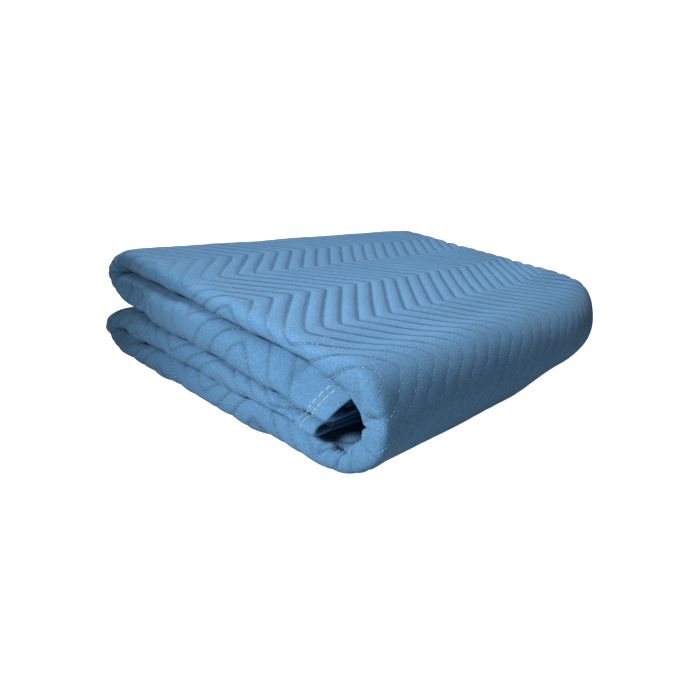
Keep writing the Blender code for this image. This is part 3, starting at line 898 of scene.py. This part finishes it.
felt = felt_material("blue_felt", (0.036, 0.095, 0.178), (0.064, 0.151, 0.264),
                     (0.092, 0.196, 0.322), (0.165, 0.285, 0.420))
tape = felt_material("binding_felt", (0.050, 0.120, 0.215), (0.070, 0.162, 0.280),
                     (0.092, 0.198, 0.325), (0.150, 0.270, 0.400), rows=False)
print("felt:", len(felt.node_tree.nodes), "nodes, tape:", len(tape.node_tree.nodes))


# %% Thread
def thread_material(name, worn, clean, front_colour):
    """Pale spun thread, darker on the front fold, with its twist as relief."""
    n = Nodes(name, Roughness=0.7, Sheen_Weight=0.2)
    colour = n.ramp(n.noise(60.0), (0.35, worn), (0.60, clean))
    x, y = n.parts(n.place)[:2]
    corner = n.maths("MAXIMUM", n.line(x, 40.0, -8.0), 0.0)
    front = n.line(y, -30.0, n.maths("SUBTRACT", corner, 5.4), clamp=True)
    off_face = n.line(x, 25.0, 7.6, clamp=True)
    colour = n.mix(n.times(off_face, front), colour, (*front_colour, 1.0))
    return n.finish(colour, n.noise(2500.0, detail=1.0), 0.4, 0.0003)


thread = thread_material("quilting_thread", (0.10, 0.19, 0.29), (0.27, 0.37, 0.46),
                         (0.115, 0.21, 0.31))
# the hem seams use the same yarn as the quilting, painted paler: partly painted
# highlight where it stands raised on the bindings, partly yarn seen bare of felt
seam_thread = thread_material("seam_thread", (0.40, 0.47, 0.42), (0.60, 0.64, 0.54),
                              (0.40, 0.47, 0.42))
print("thread:", len(thread.node_tree.nodes), "nodes")

# %% Sew up the sheet
cloth = make_sheet(felt)
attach(cloth, "root")
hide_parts("quilted_blanket")
print("cloth:", len(cloth.data.polygons), "triangles")

# %% [markdown]
# ## Bindings
# The raw edges are closed with a strip of the same felt, folded over the edge
# and sewn twice. In section it is a narrow channel: flat on both faces, round
# at the edge, and drawn in a little under each of the two rows of stitches.

# %% Section of the binding
SEAMS = (0.0160, 0.0232)  # how far in from the edge the two rows are sewn


def binding_section():
    """(reach, offset) round the channel, outside first and inside last."""
    inner = CLOTH_EDGE / 2 + BINDING_EASE
    outer = inner + BINDING_THICK
    #       reach and height above the flap (mm): drawn in at the two seams
    flap = [(28.0, -0.1), (26.8, 0.15), (24.4, 0.1), (23.2, -0.4), (22.0, 0.1),
            (19.6, 0.25), (17.2, 0.1), (16.0, -0.4), (14.8, 0.15), (9.0, 0.55),
            (3.0, 0.30), (0.0, 0.0)]
    top = [(reach / 1000, outer + up / 1000) for reach, up in flap]
    edge = [(-0.9 * outer * math.cos(a), outer * math.sin(a))
            for a in map(math.radians, (60, 25, 0, -25, -60))]
    under = [(reach, -off) for reach, off in reversed(top)]
    inside = [(BINDING_WIDTH, -inner), (0.0, -inner), (-inner * 0.8, 0.0), (0.0, inner),
              (BINDING_WIDTH, inner)]
    return np.array(top + edge + under + inside)


REACH, OFF = binding_section().T
print("a binding has", len(REACH), "points round its section")


# %% Bind the two hems and the two sides
HEM_SWELL = 0.5           # share of the cloth's slow swells that a hem follows


def channel(name, places, swell, node):
    """Joins sections at the places, pairs of s and f, into one closed body."""
    rings = np.array([cloth_points(s, f, OFF + swells(s, f) * swell)
                      for s, f in places])
    count, size = rings.shape[:2]
    faces = []
    for r in range(count - 1):
        for k in range(size):
            a, b = r * size + k, r * size + (k + 1) % size
            faces += [(a, b, b + size), (a, b + size, a + size)]
    obj = mesh_object(name, rings.reshape(-1, 3), faces, tape)
    mesh = bmesh.new()
    mesh.from_mesh(obj.data)
    mesh.verts.ensure_lookup_table()
    for start in (0, (count - 1) * size):
        mesh.faces.new([mesh.verts[start + k] for k in range(size)])
    bmesh.ops.recalc_face_normals(mesh, faces=mesh.faces)
    bmesh.ops.triangulate(mesh, faces=[f for f in mesh.faces if len(f.verts) > 4])
    mesh.to_mesh(obj.data)
    mesh.free()
    smooth(obj.data)
    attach(obj, "root")
    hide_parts(node)
    print(name, len(obj.data.polygons), "triangles")
    return obj


def end_binding(name, node, at_start):
    """Binding across a hem, round the folds of the three panels."""
    inner, left, right, middle = FOLDS_AT
    picked = [j for j, (kind, m, coarse) in enumerate(COLUMNS) if coarse or (
        kind == "at" and (inner <= m <= left or right <= m <= middle or m % 4 == 0))]
    s = REACH if at_start else STRIP - REACH
    places = [(s, flat_places(s, np.full(len(s), j))[0]) for j in picked]
    return channel(name, places, HEM_SWELL, node)


def side_binding(name, node, panel):
    """Binding along a long side, between the two end bindings."""
    clear = BINDING_WIDTH + BINDING_EASE * 2
    stops = [clear, *(s for s, k, _ in ROWS if k is not None and k % 2 == 0
                      and clear < s < STRIP - clear), STRIP - clear]
    lengths = [np.full(len(REACH), at) for at in stops]
    return channel(name, [(s, edge_place(s, panel, REACH)) for s in lengths], 0.0, node)


bindings = [end_binding("hem_binding_upper", "binding_end_upper", True),
            end_binding("hem_binding_lower", "binding_end_lower", False),
            side_binding("side_binding_middle", "binding_side_middle", "middle"),
            side_binding("side_binding_inner", "binding_side_inner", "inner")]

# %% [markdown]
# ## Thread
# Every stitch is a short piece of thread lying on the felt between two needle
# holes, so it is made as a small spindle with pointed ends, and thousands of
# them share one mesh. They follow the same rows as the quilting, since both
# ask the same functions where a row runs.

# %% Lay stitches between pairs of places
STITCH_WIDE, STITCH_HIGH = 0.0008, 0.0004
SIDES = 4                 # of a spindle: a point, two rings of four and a point
RINGS_AT = (0.28, 0.72)   # where along a stitch its rings are
IN_HOLE, FOLLOW, UNDERSIDE = 0.4, 0.8, 0.6    # shares of its height, and of the bend


def spindle():
    """Triangles of one spindle, by the numbers of its ten points."""
    first, last = 0, 2 * SIDES + 1
    faces = []
    for k in range(SIDES):
        a, b = 1 + k, 1 + (k + 1) % SIDES
        faces += [(first, a, b), (a, a + SIDES, b + SIDES), (a, b + SIDES, b),
                  (last, b + SIDES, a + SIDES)]
    return np.array(faces)


def stitches(name, rows, material):
    """Spindles in rows, each with its starts and stops (s, f) and its heights."""
    start, stop, off = (np.concatenate(part, -1) for part in zip(*rows))
    first, last = (cloth_points(*p, off - STITCH_HIGH * IN_HOLE) for p in (start, stop))
    middle = [(a + b) / 2 for a, b in zip(start, stop)]
    low, high = cloth_points(*middle, off), cloth_points(*middle, off + 0.001)
    up = (high - low) / np.linalg.norm(high - low, axis=1)[:, None]
    along = (last - first) / np.linalg.norm(last - first, axis=1)[:, None]
    side = np.cross(along, up)
    rings = []
    for share in RINGS_AT:
        base = first + (last - first) * share
        base = base + (low - (first + last) / 2) * FOLLOW
        rings += [base + side * STITCH_WIDE / 2, base + up * STITCH_HIGH,
                  base - side * STITCH_WIDE / 2, base - up * STITCH_HIGH * UNDERSIDE]
    points = np.stack([first, *rings, last], 1)
    base = np.arange(len(points))[:, None, None] * points.shape[1]
    faces, points = (spindle()[None] + base).reshape(-1, 3), points.reshape(-1, 3)
    obj = mesh_object(name, points, outwards(points, faces).tolist(), material)
    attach(obj, "root")
    print(name, len(base), "stitches,", len(faces), "triangles")
    return obj


# %% Sew the zigzag rows
FROM_HEM = 0.030          # the rows stop this far from a hem
RAISED = 0.0001           # how far a stitch stands out of its groove
SUNK = 0.93               # share of stitches sunk on the top; fewer at the folds


def shown(s, f):
    """Whether a stitch at a place can be seen from anywhere."""
    off_hems = (s > FROM_HEM) & (s < STRIP - FROM_HEM)
    left = (f <= F_LEFT + 0.004) & (f >= F_LEFT_END - 0.004)
    outside = (s > BACK[0] - 0.01) & (s < UNDER[1] + 0.01)
    on_top = (f > F_LEFT) & (f < F_RIGHT_END) & outside
    tunnel = ((f < F_LEFT_END) & (f > F_LEFT_END - 0.15)
              & (s > FRONT[0] - 0.04) & (s < FRONT[1] + 0.04))
    return off_hems & (left | on_top | tunnel)


def sunk(s, f, row):
    """Whether a stitch is sunk in the felt, so that only its groove shows."""
    front = grow(s, TURN_AT - 0.02, 0.12)
    fold = fade(f, F_LEFT + 0.03, 0.03)
    right = grow(f, 0.02, 0.16)
    share = np.maximum(SUNK - 0.50 * front * (1 - 0.85 * right) - 0.38 * fold, 0.40)
    waves = np.sin(s * 190.0 + row * 5.1) + np.sin(s * 430.0 + row * 9.7)
    return 0.5 + 0.25 * waves < share


def zigzag_places(s, row):
    """Flat place of a row at the lengths s, and the same with no slide."""
    pattern = ROW_AT_X + PITCH * (row + CLIMB * climb(s))
    return pattern + slide(s, pattern), pattern


def sew_zigzag():
    rows = []
    for row in range(-5, 27):
        s0 = np.arange(FROM_HEM, STRIP - FROM_HEM, STITCH) + 0.0007 * scatter(row, 3.0)
        s1 = s0 + STITCH * STITCH_SHARE
        middle = (s0 + s1) / 2
        f, pattern = zigzag_places(middle, row)
        keep = shown(middle, f) & ~sunk(middle, f, row)
        ends = (np.stack([s, zigzag_places(s, row)[0]])[:, keep] for s in (s0, s1))
        rows.append((*ends, offset(middle, f, 1, pattern)[keep] + RAISED))
    return stitches("zigzag_stitches", rows, thread)


zigzag = sew_zigzag()


# %% Sew the bindings
HEM_STEP, HEM_STITCH = 0.0040, 0.0043  # from stitch to stitch, and its length
SUNK_IN = 0.0002          # how deep a hem stitch lies in the felt


def sew_hem(number, at_start):
    """Two rows of stitches on both faces of one hem binding."""
    rows = []
    height = CLOTH_EDGE / 2 + BINDING_EASE + BINDING_THICK - SUNK_IN
    for seam in SEAMS:
        at = seam if at_start else STRIP - seam
        low, high = (float(edge_place(np.array([at]), panel, 0)[0])
                     for panel in ("inner", "middle"))
        f = np.arange(low + 0.002, high - 0.004, HEM_STEP)
        s = np.full_like(f, at)
        for face in (1, -1):
            rows.append((np.stack([s, f]), np.stack([s, f + HEM_STITCH]),
                         face * height + swells(s, f) * HEM_SWELL))
    return stitches("hem_stitches_%d" % number, rows, seam_thread)


hem_stitches = [sew_hem(0, True), sew_hem(1, False)]
